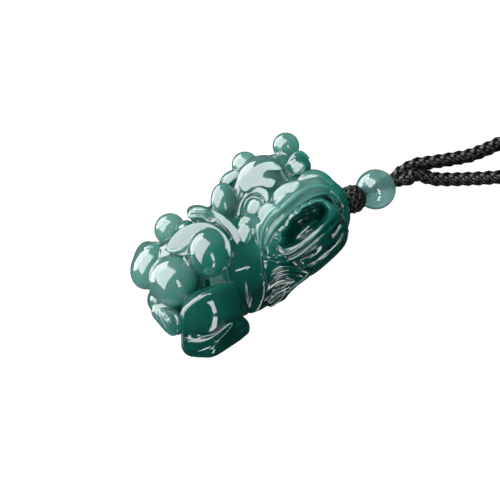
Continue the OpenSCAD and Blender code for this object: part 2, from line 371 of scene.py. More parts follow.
def cord_material():
    """Black waxed nylon, with fine filaments"""
    m = Shading("cord")
    grain = m.noise(5200.0, 3.0)
    m.link(m.ramp(grain, [(0.3, (0.0012, 0.0011, 0.0012)), (0.75, (0.004, 0.0037, 0.004))]), "Base Color")
    m.link(m.ramp(grain, [(0.3, 0.36), (0.75, 0.52)]), "Roughness")
    m.set(m.shader, IOR=1.5, Specular_IOR_Level=0.32)
    bump = m.nodes.new("ShaderNodeBump")
    m.set(bump, Distance=0.00004, Strength=0.6)
    m.links.new(grain, bump.inputs["Height"])
    m.link(bump.outputs["Normal"], "Normal")
    return m.material


# ---- Distance field -------------------------------------------------------------------------

VOXEL_MM = 0.15
ADAPTIVITY = 0.0105
FIELD_LOW = (-20.6, -15.0, -0.7)
FIELD_HIGH = (19.4, 14.4, 18.0)
FAR_MM = 9.0
# How the camera's rays are followed: from and to mm toward it, in steps; normals are taken over a width
RAY_FROM_MM, RAY_TO_MM, RAY_STEP_MM = 24.0, -12.0, 0.08
NORMAL_WIDTH_MM = 0.25
TINY = 1e-9


class Field:
    """Distance field on an even grid, in mm"""

    def __init__(self):
        self.low = np.array(FIELD_LOW)
        self.count = np.ceil((np.array(FIELD_HIGH) - self.low) / VOXEL_MM).astype(int) + 1
        self.d = np.full(self.count, FAR_MM, np.float32)
        self.axes = [(self.low[k] + VOXEL_MM * np.arange(self.count[k])).astype(np.float32) for k in range(3)]

    def part(self, low, high, margin=0.9):
        """Slices of the grid round a box, and the coordinates of its points"""
        a = np.floor((np.asarray(low) - margin - self.low) / VOXEL_MM).astype(int)
        b = np.ceil((np.asarray(high) + margin - self.low) / VOXEL_MM).astype(int) + 1
        a, b = np.clip(a, 0, self.count), np.clip(b, 0, self.count)
        where = tuple(slice(a[k], b[k]) for k in range(3))
        return where, np.meshgrid(*[self.axes[k][where[k]] for k in range(3)], indexing="ij", sparse=True)

    def photo_part(self, outline, toward, reach):
        """Slices of the grid round an outline in the photograph's plane, and its points' right, up and toward"""
        middle = camera_way(*outline.mean(0), toward)
        reach += np.abs(outline - outline.mean(0)).max()
        where, g = self.part(middle - reach, middle + reach, 0.0)
        g = np.broadcast_arrays(*g)
        return where, [sum(g[i] * axis[i] for i in range(3)) for axis in (RIGHT, UP, TOWARD)]

    def blend(self, where, new, soft, cut=False):
        """Adds a shape, or cuts it away, with its edge rounded over soft mm"""
        old = self.d[where]
        if cut:
            h = np.clip(0.5 - 0.5 * (new + old) / soft, 0, 1)
            self.d[where] = old - (new + old) * h + soft * h * (1 - h)
        else:
            h = np.clip(0.5 + 0.5 * (old - new) / soft, 0, 1)
            self.d[where] = old + (new - old) * h - soft * h * (1 - h)

    def ellipsoid(self, middle, axes, radii, soft):
        middle = np.asarray(middle, float)
        where, g = self.part(middle - max(radii), middle + max(radii))
        d = [g[i] - middle[i] for i in range(3)]
        local = [sum(d[i] * axis[i] for i in range(3)) for axis in axes]
        k0 = np.sqrt(sum((v / r) ** 2 for v, r in zip(local, radii)))
        k1 = np.sqrt(sum((v / r ** 2) ** 2 for v, r in zip(local, radii))) + TINY
        self.blend(where, k0 * (k0 - 1) / k1, soft)

    def rods(self, ends, radii, soft, cut=False):
        """Tapered rods, joined to each other before they are blended in"""
        ends, radii = np.asarray(ends, float), np.asarray(radii, float)
        where, g = self.part(ends.min((0, 1)) - radii.max(), ends.max((0, 1)) + radii.max())
        best = None
        for (a, b), (ra, rb) in zip(ends, radii):
            e = b - a
            t = sum((g[i] - a[i]) * e[i] for i in range(3)) / max(e @ e, TINY)
            t = np.clip(t, 0, 1)
            d = np.sqrt(sum((g[i] - a[i] - t * e[i]) ** 2 for i in range(3))) - (ra + (rb - ra) * t)
            best = d if best is None else np.minimum(best, d)
        self.blend(where, best, soft, cut)

    def run(self, points, radii, soft, cut=False):
        """Chain of rods through points"""
        P = np.asarray(points, float)
        R = np.broadcast_to(np.asarray(radii, float), (len(P),))
        self.rods(np.stack([P[:-1], P[1:]], 1), np.stack([R[:-1], R[1:]], 1), soft, cut)

    def value(self, p):
        """Distance at any points, between the grid's own"""
        q = np.clip((p - self.low) / VOXEL_MM, 0, self.count - 1.001)
        i = q.astype(int)
        f = q - i
        out = 0.0
        for corner in np.ndindex(2, 2, 2):
            share = np.prod([f[..., k] if corner[k] else 1 - f[..., k] for k in range(3)], axis=0)
            out = out + share * self.d[tuple(i[..., k] + corner[k] for k in range(3))]
        return out

    def normals(self, p, width):
        n = np.stack([self.value(p + width * e) - self.value(p - width * e) for e in np.eye(3)], -1)
        return n / (np.linalg.norm(n, axis=1)[:, None] + TINY)

    def seen(self, pixels):
        """Where the photograph's pixels meet the carving: points, and how far toward the camera they are"""
        pixels = np.atleast_2d(np.asarray(pixels, float))
        right, up = in_photo_plane(pixels[:, 0], pixels[:, 1])
        base = right[:, None] * RIGHT + up[:, None] * UP
        c = np.arange(RAY_FROM_MM, RAY_TO_MM, -RAY_STEP_MM)
        p = base[:, None, :] + c[None, :, None] * TOWARD
        inside = ((p > self.low) & (p < self.low + VOXEL_MM * (self.count - 1))).all(-1)
        v = np.where(inside, self.value(p), FAR_MM)
        row = np.arange(len(pixels))
        first = np.argmax(v < 0, axis=1)
        none = v[row, first] >= 0
        first[none] = np.argmin(v[none], axis=1)
        before, after = v[row, np.maximum(first - 1, 0)], v[row, first]
        back = np.where(none, 0, np.clip(-after / np.maximum(before - after, 1e-6), 0, 1)) * RAY_STEP_MM
        toward = c[first] + back
        return base + toward[:, None] * TOWARD, toward


# ---- Forms of the carving -------------------------------------------------------------------

LENGTH_MM, HEIGHT_MM, THICK_MM = 36.0, 24.0, 18.0
RUN_BLEND_MM = 0.35
LIP_BLEND_MM = 0.3

# Domes: name, centre, radii (shares of length, height and thickness), turn about Z, blend in mm
DOMES = [
    ("skull", (0.2, -0.02, 0.43), (0.255, 0.375, 0.43), 0, 0.5),
    ("cheek back", (0.37, -0.08, 0.38), (0.125, 0.2, 0.28), 0, 0.5),
    ("forehead", (0.205, 0.255, 0.66), (0.125, 0.175, 0.24), 0, 0.5),
    ("face", (0.235, 0.04, 0.6), (0.215, 0.22, 0.23), 0, 0.5),
    ("jaw", (0.224, -0.222, 0.55), (0.182, 0.27, 0.37), 0, 0.5),
    ("body", (-0.08, 0.06, 0.4), (0.2, 0.28, 0.33), 0, 0.5),
    ("rump", (-0.28, 0.12, 0.36), (0.15, 0.24, 0.31), 0, 0.5),
    ("hip", (-0.191, 0.11, 0.49), (0.136, 0.204, 0.27), 0, 0.5),
    ("hip under", (-0.19, 0.08, 0.28), (0.15, 0.23, 0.27), 0, 0.5),
    ("lobe a", (-0.385, 0.034, 0.51), (0.11, 0.166, 0.24), 0, 0.5),
    ("lobe a under", (-0.36, 0.06, 0.26), (0.1, 0.16, 0.22), 0, 0.5),
    ("chest", (0, -0.26, 0.42), (0.14, 0.19, 0.3), 0, 0.5),
    ("belly", (-0.14, -0.15, 0.4), (0.15, 0.17, 0.29), 0, 0.5),
    ("underside", (0.02, -0.01, 0.22), (0.3, 0.26, 0.265), 0, 0.5),
    ("lobe c", (-0.211, 0.437, 0.333), (0.07, 0.102, 0.16), 0, 0.15),
    ("lobe d", (-0.397, 0.301, 0.333), (0.112, 0.098, 0.17), 54, 0.15),
    ("horn ball", (0.198, 0.42, 0.64), (0.061, 0.092, 0.12), 0, 0.15),
    ("side ball", (0.41, 0.405, 0.61), (0.06, 0.09, 0.12), 0, 0.15)
]
# Runs of balls: centre as shares, radius as a share of the thickness
RUNS = [
    ("stalk", [(0.33, 0.25, 0.55, 0.15), (0.39, 0.37, 0.58, 0.08)]),
    ("hind foot", [(-0.485, -0.405, 0.44, 0.105), (-0.425, -0.475, 0.44, 0.12), (-0.28, -0.47, 0.44, 0.11)]),
    ("far hind leg", [(-0.3, -0.14, 0.3, 0.2), (-0.38, -0.31, 0.23, 0.13), (-0.29, -0.32, 0.23, 0.12)]),
    ("tail curl", [(-0.455, 0.04, 0.39, 0.08), (-0.49, -0.06, 0.389, 0.095), (-0.49, -0.17, 0.361, 0.085)]),
    ("far front leg", [(-0.04, -0.15, 0.3, 0.18), (-0.11, -0.25, 0.25, 0.12), (-0.17, -0.29, 0.23, 0.08)]),
    ("beard", [(0.1, -0.381, 0.539, 0.123), (0.01, -0.396, 0.539, 0.11), (-0.062, -0.383, 0.495, 0.108),
     (-0.13, -0.371, 0.439, 0.1)])
]
THIGH = [(-0.379, -0.222, 0.54, 0.13), (-0.246, -0.265, 0.54, 0.14), (-0.45, -0.35, 0.48, 0.11),
    (-0.29, -0.39, 0.48, 0.12)]
THIGH_LAYERS = 25

# Forms with their top at a set distance: name, pixel, toward mm, radii along and across in pixels, turn in
# degrees against the clock, half depth in mm, blend in mm, and the way they look if not at the camera
MASSES = [
    ("crown ball", (245, 164), 6.6, (13.6, 13.4), 0, 2.13, 0.1),
    ("back of neck", (226, 222), 9.4, (24, 14), -52, 5, 0.4),
    ("side of head", (240, 193), 8.8, (25, 13), 70, 5, 0.4),
    ("crown right", (276, 167), 7.2, (20, 14), 10, 4, 0.3),
    ("spine scale", (205, 217), 8.4, (20, 10.5), -24, 4, 0.2),
    ("small rump lobe", (184, 227.5), 7.8, (9.5, 7), 30, 3, 0.12),
    ("lobe d face", (150.5, 265.5), 11.2, (25.5, 19.5), 62, 4.5, 0.12),
    ("tail", (168, 312.5), 13.6, (25, 14.5), -60, 4.5, 0.15),
    ("tail root", (158.5, 300), 13.2, (13.5, 11.5), 90, 3.5, 0.15),
    ("leg front", (209, 316), 17.9, (31, 26), 60, 3, 0.4)
]
LEANING = [
    ("ear core", (223.5, 200.5), 9.4, (17.5, 11.5), 95, 4.2, 0.1, (-0.1, 0.05)),
    ("ear curl", (223, 200.5), 10.4, (18.5, 12.8), 95, 2, 0.1, (-0.42, 0.2)),
    ("right socket", (299, 166.5), 8.7, (12.5, 11.5), 10, 2.4, 0.35, (0, 0.05)),
    ("under the eye", (250.5, 231.5), 14.5, (17.5, 13.5), 95, 1.2, 0.35, (0.04, -0.06)),
    ("crown bump", (229, 178.5), 6.8, (12, 6.5), 42, 3, 0.12, (-0.1, 0.1))
]
FRONT_LEG = [
    ("neck", (244, 251), 12.8, (15, 13), 0, 3.6, 0.25, (0.05, -0.1)),
    ("belly", (220, 278), 13.2, (15, 9), 30, 2.4, 0.35, (0.1, -0.3)),
    ("near front leg", (248, 287), 14.2, (27, 15), 98, 3.4, 0.15, (0.05, -0.3))
]
BALLS = [
    ("hip ball", (209.3, 254), 16.9, (26, 21.5), 97, 3.8, 0.08),
    ("lobe a face", (174.5, 281), 16.2, (26, 25), 90, 4.4, 0.08)
]
# Upper lip: pixel, toward mm, radius in pixels
UPPER_LIP = [(267, 254, 13.7, 7), (264.5, 243, 14.1, 10), (268.5, 229, 14.3, 12), (277.5, 215, 14, 12.5),
    (289, 203.5, 13.1, 12.5), (302, 193.5, 12.2, 12), (315, 187, 11.3, 10.5), (328, 187, 10.2, 9), (338, 194, 9.4, 8),
    (342, 204, 9.4, 7)]
# Forms laid on the surface: name, pixel, radii in pixels, turn, way they look, how far they stand out, half
# depth, blend
FORMS = [
    ("tail bead", (170.5, 320.5), (5, 4), 60, (-0.3, 0.2), 0.6, 0.8, 0.08),
    ("cheek bump", (245, 233.5), (10.4, 8), 95, (-0.42, 0.18), 0.7, 0.5, 0.06),
    ("left eye", (254.6, 208.3), (10.4, 9), 70, (-0.42, 0.24), 1.2, 0.6, 0.06),
    ("right eye", (298.3, 167.3), (8.4, 7.4), 0, (-0.4, 0.3), 0.9, 0.5, 0.06)
]
TONGUE = ("tongue", (305, 232), (19, 7.5), 42, (0, 0), 1.2, 2.2, 0.2)

# Pads with traced outlines: name, height and edge radius in mm, blend, top, pixels. The top is flat (True), as
# the surface below it (False), or flat and looking right and up so far, with its bends to the left, right and
# up in 1/mm after that
LEG_PADS = [
    ("leg face", 1.6, 0.85, 0.12, (0.12, -0.26, 0.06, 0.22, 0.15), [(180.3, 317), (183, 307.8), (191, 299.8),
     (201, 293), (212, 288), (224, 282.5), (236, 285), (241, 298), (245, 312), (239, 319), (230, 328), (218, 337),
     (205, 343), (190, 346), (182, 335)]),
    ("foot pad", 0.25, 0.3, 0.3, (-0.05, -0.22), [(181.5, 334), (188, 339), (198, 340.5), (208, 337.5), (217, 332),
     (229, 322.5), (234, 323), (227, 333), (216, 343), (204, 350.5), (192, 351.5), (184, 347.5)]),
    ("tail leaf", 0.7, 0.45, 0.08, False, [(159, 310), (166, 307.5), (174, 309), (180, 313.5), (182, 321), (181, 330),
     (176.5, 335), (170, 335), (164.5, 328), (160, 318.5)]),
    ("spine scale face", 0.8, 0.4, 0.1, (-0.1, 0.12, 0.08, 0.08, 0.08), [(187, 216.5), (188.5, 211.5), (192.5, 208),
     (198, 206.3), (204.5, 207), (210, 210.5), (215, 215.5), (219, 221), (212, 221.5), (205, 219.5), (197, 218.5),
     (191, 218.8)])
]
FRONT_PADS = [
    ("belly face", 0, 0.12, 0.08, (0.03, -0.28), [(209, 277), (217, 271), (226, 266), (229, 276), (232, 288),
     (226, 290), (213, 286)]),
    ("front leg face", 0.9, 0.12, 0.08, (-0.03, 0.05, 0.05, 0.06, 0), [(229.5, 240), (243, 234), (256, 236),
     (262, 252), (263.5, 270), (266, 285), (264, 300), (258, 310.5), (252, 312), (246, 309), (241.5, 300), (236, 292),
     (228, 286), (224, 279), (226, 271), (229, 262)]),
    ("jaw face", 0.3, 0.5, 0.3, (0.42, -0.3), [(300, 262), (309, 257), (320, 247.5), (331, 236.5), (340, 224),
     (347, 226), (344, 237), (333, 250), (321, 260), (307, 267)])
]
HIP_PAD = ("hip rim", 1.2, 0.18, 0.06, (-0.3, 0.38), [(166.4, 249.3), (169.3, 241.4), (177, 232), (188.6, 225),
    (200, 222), (211.4, 223.6), (221.4, 230), (228.6, 238.6), (231.5, 247), (230, 257), (224, 246), (214, 240),
    (204, 241), (196, 247), (190, 254), (183, 256), (173, 253)])
PADS = [
    ("beard face", 0.15, 0.3, 0.25, (-0.02, -0.22), [(265.5, 270), (266, 262.5), (272, 264), (286, 265.5),
     (300, 267.5), (309, 272), (306, 278), (297, 285), (288, 293), (279, 302), (270, 307), (266.5, 300), (267, 286)]),
    ("lip side", 0.5, 0.4, 0.3, (0.08, 0.05), [(257, 226), (261, 221), (265, 214), (270, 209), (276, 205.5),
     (280, 208), (274, 215), (268, 224), (264, 234), (262, 246), (258, 244), (256, 235)]),
    ("left lobe", 0.9, 0.4, 0.08, (-0.3, 0.3), [(258.5, 222), (257.8, 215), (260.5, 208.5), (265, 204),
     (271.5, 202.8), (274.5, 205.3), (270.5, 210), (266.5, 214), (263.5, 219), (261.3, 223.5)]),
    ("nose lobe", 0.54, 0.35, 0.08, (-0.18, 0.3), [(273.5, 201), (273.5, 193.5), (279, 187.2), (288, 182.5),
     (296.5, 180.3), (300.5, 182.5), (299, 188), (292, 195), (284, 202), (277, 207)]),
    ("right lobe", 0.9, 0.9, 0.12, (0.02, 0.33), [(296.5, 181.5), (301, 174.5), (309, 169.5), (318, 169.5),
     (327, 173.5), (333, 180), (333, 185), (322, 182.5), (311, 183.5), (302, 188)]),
    ("left brow", 0.75, 0.35, 0.06, True, [(234.2, 215.8), (233.2, 211.5), (235.8, 205), (241.7, 196.7), (250, 189.2),
     (258.3, 187), (266, 188.7), (269, 193), (268.7, 201), (264.8, 202.2), (263, 197.6), (258, 193.6), (252, 194),
     (246.5, 198), (242.7, 204), (241, 210), (240.3, 215.8), (237.3, 217.4)]),
    ("crest", 0.5, 0.25, 0.05, (0.1, 0.12), [(290.5, 157), (293.5, 152.8), (298, 150.2), (302.5, 150.2), (307, 153.5),
     (310.3, 158.2), (305, 156.6), (298, 155.8), (293, 158.5)]),
    ("forehead", 0.3, 0.12, 0.05, (-0.26, 0.34), [(239.3, 186), (241.5, 179), (247.5, 171.5), (255.5, 165.5),
     (264.5, 161.8), (272, 160.8), (278.5, 164.5), (282.5, 169.3), (277, 170.4), (268.5, 170.6), (264.5, 173.2),
     (264.2, 177), (268.5, 177.2), (276.2, 180.2), (274.5, 185), (270.5, 188), (262, 186.5), (253, 188), (245, 192)]),
    ("crown leaf", 0.5, 0.3, 0.06, (-0.28, 0.32), [(222, 185.5), (222.2, 180.5), (225.3, 175.5), (230, 172),
     (236.5, 169.3), (238, 172), (235.8, 177.2), (231.5, 182), (226.5, 185.5)]),
    ("mane", 2.3, 0.18, 0.06, (-0.28, 0.3), [(211.5, 209), (217, 211.5), (224, 215.5), (232, 222.5), (238.5, 230.5),
     (240.6, 238), (238.5, 245), (234, 241), (229.5, 232.5), (222.5, 225), (214.5, 216)])
]
# Places where the carving is cut back to the photograph's outline: name, rounding, pixels
TRIMS = [
    ("jaw", 0.8, [(351.5, 234.5), (348.6, 240.5), (345, 246), (339, 252.8), (332.5, 259), (323, 267.5), (312.5, 276),
     (305, 282.5), (297.5, 288.3), (289, 296), (292, 305), (320, 294), (350, 270), (363, 240)]),
    ("foot", 0.6, [(201, 359.3), (209.5, 357.8), (219.5, 354), (232, 346.5), (242, 340.3), (248, 335.5), (256, 344),
     (236, 364), (206, 370)])
]
# Lines: name, width in pixels, height in mm (negative is cut), share of the length that tapers, pixels
FACE_LINES = [
    ("left brow curl", 3.4, 0.45, 0.3, [(245.2, 216.5), (244.2, 209), (246.8, 202), (251.5, 197.4), (257.5, 196.4),
     (262, 199.5)]),
    ("ball crease 1", 1.8, 0.3, 0.3, [(281.7, 151), (286, 154), (290, 157.5)]),
    ("ball crease 2", 1.8, 0.3, 0.3, [(290, 157.5), (293.5, 154.5), (295.8, 151)]),
    ("side crease", 3, 0.35, 0.3, [(280.3, 166), (281.5, 172), (284.5, 177), (288.5, 180.3)]),
    ("right brow", 2.4, 0.3, 0.3, [(288.3, 171), (287.6, 164), (290.5, 158.6), (297, 156), (304, 156.4), (309, 159)]),
    ("teeth rim", 2.2, 0.26, 0.1, [(277.6, 249.5), (275.6, 243.5), (279.4, 238.8), (280, 231.8), (284.7, 226.6),
     (287.4, 220.5), (291.4, 215.6), (297.8, 211.2), (301.7, 206.4), (308, 203.8), (314.5, 200.8), (322, 199.6),
     (329.5, 204), (332, 211)]),
    ("lip ridge", 3.2, 0.38, 0.2, [(264.5, 248), (267, 239), (272, 230), (279, 221.5), (288, 213), (298, 204.5),
     (309, 197), (320, 193), (331, 193.5)]),
    ("lip ridge outer", 3.4, 0.45, 0.2, [(272.5, 215.5), (280, 209.5), (290, 200.8), (300, 192.5), (309, 187),
     (318, 185.2), (332, 187.5)]),
    ("lip groove", 2, -0.3, 0.2, [(269.5, 243), (273, 234.5), (279, 226.5), (287.5, 218), (297, 209), (308, 201.5),
     (319, 197.5)]),
    ("lip valley", 3, -0.3, 0.3, [(268, 231), (274, 220.5), (283, 211.5), (293, 202.5), (303, 194.5), (313, 190)])
]
BODY_LINES = [
    ("lower lip inner", 3.2, 0.35, 0.2, [(274, 255), (283, 254.8), (291, 253), (298, 248.5), (305, 242.5), (315, 235),
     (322, 228), (329, 220), (336, 213), (341.5, 207)]),
    ("lower lip", 4, 0.45, 0.2, [(267.5, 260.5), (278, 262), (290, 259.8), (299, 255.3), (308, 248.5), (320, 237.5),
     (330, 228.5), (339.5, 219), (344, 210)]),
    ("lower lip groove", 2.4, -0.3, 0.2, [(272, 258), (283, 258.3), (292, 256), (301, 250.5), (310, 243.5),
     (320, 234.5), (329, 225.5), (337, 217)]),
    ("chin line", 4.2, 0.5, 0.3, [(300, 268.3), (308, 265.6), (319, 260), (330, 251), (338, 243.5), (343, 234)]),
    ("cheek arc 1", 2.8, 0.18, 0.3, [(326.5, 195), (332, 198), (335.5, 204), (334.5, 212)]),
    ("cheek arc 2", 2.8, 0.18, 0.3, [(333, 192.5), (339, 197), (342, 204)]),
    ("jaw hinge", 3, 0.22, 0.3, [(260.5, 250), (263, 256.5), (268.5, 260.5)]),
    ("beard 0", 2.8, 0.15, 0.3, [(269, 276), (275.5, 269.8), (284, 266.8), (294, 266.8), (303, 268.5)]),
    ("beard 1", 2.8, 0.15, 0.3, [(270, 280.5), (276, 274.5), (285, 271.2), (295, 270.8), (304, 272.3), (308.5, 274)]),
    ("beard 2", 2.8, 0.15, 0.3, [(269.5, 285), (277, 278), (287, 274.8), (297, 275.3), (304, 278)]),
    ("beard 3", 2.8, 0.15, 0.3, [(267.5, 291.8), (274.8, 284.8), (283.5, 281.3), (292, 281), (300, 283.5)]),
    ("beard 4", 2.8, 0.15, 0.3, [(265, 300.5), (271, 293), (279.5, 287.5), (288, 286), (296, 287.5)]),
    ("beard 5", 2.8, 0.15, 0.3, [(265.5, 306.5), (272, 299.5), (281, 293.5), (290, 290.8)]),
    ("hip ridge", 3, 0.4, 0.35, [(182.5, 253.5), (186, 261), (192, 271)]),
    ("hip lip", 4, 0.5, 0.3, [(166, 249.5), (174, 252), (184, 250), (188, 245)]),
    ("lobe d fold", 4, 0.5, 0.35, [(144.5, 247.5), (150, 249.5), (157, 245)]),
    ("spine stripe 1", 2.6, 0.2, 0.3, [(189, 213.5), (196, 211.5), (204, 213.8), (211, 218)]),
    ("spine stripe 2", 2.6, 0.2, 0.3, [(190, 217.2), (197, 215.8), (204, 217.6), (210, 220.5)]),
    ("armband", 2.8, 0.13, 0.35, [(236, 271.2), (241.5, 271), (249, 266.5)]),
    ("leg ridge", 2.6, 0.16, 0.35, [(246.5, 282), (247.8, 290), (249, 299), (248.5, 306)]),
    ("lobe a rim", 2.6, 0.32, 0.3, [(171, 254.5), (162, 259), (154.5, 266), (150.5, 276), (150, 287)]),
    ("foot line 1", 2.6, 0.17, 0.3, [(184.5, 348.7), (191, 351.7), (201, 350.7), (212, 346.5), (222, 339.7),
     (232, 330.7), (243, 322)]),
    ("tail groove", 2.4, -0.22, 0.3, [(161, 313), (163.5, 321), (169, 331.5)]),
    ("tail line", 2.6, 0.25, 0.3, [(165, 312), (172, 311.5), (178, 316), (179, 325), (176, 332)])
]
# Mouth: its edge with the scallops of the teeth, its floor (pixel and toward mm) and the teeth
MOUTH_EDGE = [(279, 248.5), (277.5, 243), (281.5, 238.5), (282.2, 232), (286.5, 227.5), (289.5, 221.5), (293, 217),
    (299, 213), (303, 208), (309, 205.5), (315, 202.5), (322, 201.5), (328, 205.5), (330, 211), (327, 218),
    (321, 225), (312.5, 232.5), (304, 239.5), (296, 245.5), (288.5, 249.5), (283, 251)]
MOUTH_FLOOR = [(282, 240, 10.2), (310, 208, 8.6), (325, 205, 8.2), (290, 248, 11.6), (325, 218, 10.4)]
TEETH = [(275.5, 244), (277.5, 236), (281.8, 229.2), (286.2, 223), (291.5, 217), (298, 211), (305, 206), (312.5, 202),
    (320.5, 199.5)]
MOUTH_APART = 1.0
MOUTH_SLOPE = 0.35
MOUTH_DEEP_MM = 3.0
MOUTH_FLOOR_BLEND_MM = 0.9
MOUTH_EDGE_BLEND_MM = 0.15
MOUTH_REACH_MM = 7.0
TOOTH_PAD = (0.26, 0.08, 0.04, True)
TOOTH_LONG_PIXELS = 3.3
TOOTH_WIDE_PIXELS = 2.7

LINE_APART = 1.6
LINE_BLEND_MM = 0.12
LINE_SMOOTHINGS = 10
THIN_END = 0.12
OUTLINE_APART = 1.2
OUTSIDE_MM = 5.0
PAD_DEEP_MM = 2.2
PAD_REACH_MM = 1.2
PAD_ROOM_MM = 0.8
PAD_SAMPLES = (0.15, 0.5, 0.85)


def at_share(row):
    return np.array([row[0] * LENGTH_MM, row[1] * HEIGHT_MM, row[2] * THICK_MM])


def form_axes(turn, lean=None):
    """Axes of a turned form that faces the camera, or looks along lean, a way to the right and up"""
    t = math.radians(turn)
    a = math.cos(t) * RIGHT + math.sin(t) * UP
    if lean is None:
        return a, -math.sin(t) * RIGHT + math.cos(t) * UP, TOWARD
    n = camera_way(*lean, math.sqrt(1 - lean[0] ** 2 - lean[1] ** 2))
    a = a - (a @ n) * n
    a /= np.linalg.norm(a)
    return a, np.cross(n, a), n


def stand(field, pixel, toward, radii, turn, deep, soft, lean=None):
    """Ellipsoid whose top is toward mm away"""
    field.ellipsoid(at_pixel(*pixel, toward - deep), form_axes(turn, lean),
                    (radii[0] * PIXEL_MM, radii[1] * PIXEL_MM, deep), soft)


def lay_form(field, pixel, radii, turn, lean, rise, deep, soft):
    """Form that stands out of the surface at a pixel"""
    stand(field, pixel, field.seen([pixel])[1][0] + rise, radii, turn, deep, soft, lean)


def pixel_curve(points, shut=False, apart=LINE_APART):
    """Curve through pixels, with points about so many pixels apart"""
    P = np.array(points, float)
    out = catmull_rom(np.vstack([P[-1:], P, P[:2]]) if shut else straight_on(P),
                      lambda b, c: max(2, int(np.linalg.norm(c - b) / apart)))
    return out if shut else np.vstack([out, P[-1:]])


def draw_line(field, width, height, ends, pixels):
    """Raised or cut line along the surface: the edge of a thick rod sunk below it"""
    P, _ = field.seen(pixel_curve(pixels))
    N = field.normals(P, NORMAL_WIDTH_MM)
    for _ in range(LINE_SMOOTHINGS):
        for row in (P, N):
            row[1:-1] = 0.5 * row[1:-1] + 0.25 * (row[:-2] + row[2:])
    t = np.linspace(0, 1, len(P))
    size = np.clip(np.minimum(t, 1 - t) / ends, THIN_END, 1) ** 0.5
    h, w = abs(height) * size, width * PIXEL_MM * size
    radius = w * w / (8 * h) + h / 2
    sink = (h - radius) * (1 if height > 0 else -1)
    field.run(P + sink[:, None] * units(N), radius, LINE_BLEND_MM, cut=height < 0)


def trace(pixels, apart=OUTLINE_APART):
    """Closed outline through pixels: as pixels, and in mm right and up"""
    curve = pixel_curve(pixels, shut=True, apart=apart)
    return curve, np.stack(in_photo_plane(curve[:, 0], curve[:, 1]), 1)


def round_outline(outline, u, v, room):
    """Which points lie no more than room mm outside the outline's box"""
    mid = outline.mean(0)
    span = np.abs(outline - mid).max(0) + room
    return (np.abs(u - mid[0]) < span[0]) & (np.abs(v - mid[1]) < span[1])


def outline_distance(outline, u, v):
    """Signed distance from a closed outline, less than nothing inside it"""
    best = np.full(u.shape, 1 / TINY)
    inside = np.zeros(u.shape, bool)
    for a, b in zip(np.roll(outline, 1, 0), outline):
        e = b - a
        t = np.clip(((u - a[0]) * e[0] + (v - a[1]) * e[1]) / max(e @ e, 1e-12), 0, 1)
        best = np.minimum(best, (u - a[0] - t * e[0]) ** 2 + (v - a[1] - t * e[1]) ** 2)
        if abs(e[1]) > 1e-12:
            inside ^= ((a[1] > v) != (b[1] > v)) & (u < a[0] + (v - a[1]) / e[1] * e[0])
    return np.where(inside, -1, 1) * np.sqrt(best)


def pad(field, height, edge, soft, flat, pixels):
    """Raised pad with a traced outline and a rounded edge"""
    curve, outline = trace(pixels)
    mid = outline.mean(0)
    inner = np.concatenate([curve.mean(0) + k * (curve - curve.mean(0)) for k in PAD_SAMPLES])
    q, toward = field.seen(inner)

    def terms(u, v):
        u, v = u - mid[0], v - mid[1]
        return [np.ones_like(u), u, v] + ([] if flat else [u * u, u * v, v * v])

    bends = np.zeros(3)
    if isinstance(flat, tuple):
        slope = -np.array(flat[:2]) / math.sqrt(1 - flat[0] ** 2 - flat[1] ** 2)
        fit = np.array([0.0, *slope])
        fit[0] = (toward - fit @ terms(q @ RIGHT, q @ UP)).mean()
        bends[:] = flat[2:] if len(flat) > 2 else 0.0
    else:
        fit = np.linalg.lstsq(np.stack(terms(q @ RIGHT, q @ UP), 1), toward, rcond=None)[0]
    where, (u, v, w) = field.photo_part(outline, toward.mean(), PAD_REACH_MM + np.ptp(toward) / 2)
    close = round_outline(outline, u, v, PAD_ROOM_MM)
    new = np.full(close.shape, OUTSIDE_MM)
    u, v, w = u[close], v[close], w[close]
    base = sum(f * t for f, t in zip(fit, terms(u, v)))
    base -= 0.5 * (np.where(u < mid[0], bends[0], bends[1]) * (u - mid[0]) ** 2 + bends[2] * (v - mid[1]) ** 2)
    a = outline_distance(outline, u, v) + edge
    b = w - base - height + edge
    d = np.hypot(np.maximum(a, 0), np.maximum(b, 0)) + np.minimum(np.maximum(a, b), 0) - edge
    new[close] = np.maximum(d, base - PAD_DEEP_MM - w)
    field.blend(where, new, soft)


def trim(field, soft, pixels):
    """Cuts away what lies in an outline of the photograph, at any depth"""
    _, outline = trace(pixels)
    where, g = field.part(FIELD_LOW, FIELD_HIGH, 0.0)
    u, v = np.broadcast_arrays(*(sum(g[i] * axis[i] for i in range(3)) for axis in (RIGHT, UP)))
    close = round_outline(outline, u, v, 2 * soft) & (field.d[where] < 2 * soft)
    new = np.full(close.shape, FAR_MM, np.float32)
    new[close] = outline_distance(outline, u[close], v[close])
    field.blend(where, new, soft, cut=True)


def tooth_outlines():
    """Rounded blocks along the upper edge of the mouth"""
    P = np.array(TEETH, float)
    along = units(np.gradient(P, axis=0))
    across = np.stack([-along[:, 1], along[:, 0]], 1)
    corners = [(-1, -0.7), (-0.75, -1), (0.75, -1), (1, -0.7), (1, 0.7), (0.75, 1), (-0.75, 1), (-1, 0.7)]
    return [[tuple(p + a * TOOTH_LONG_PIXELS * t + b * TOOTH_WIDE_PIXELS * n) for a, b in corners]
            for p, t, n in zip(P, along, across)]


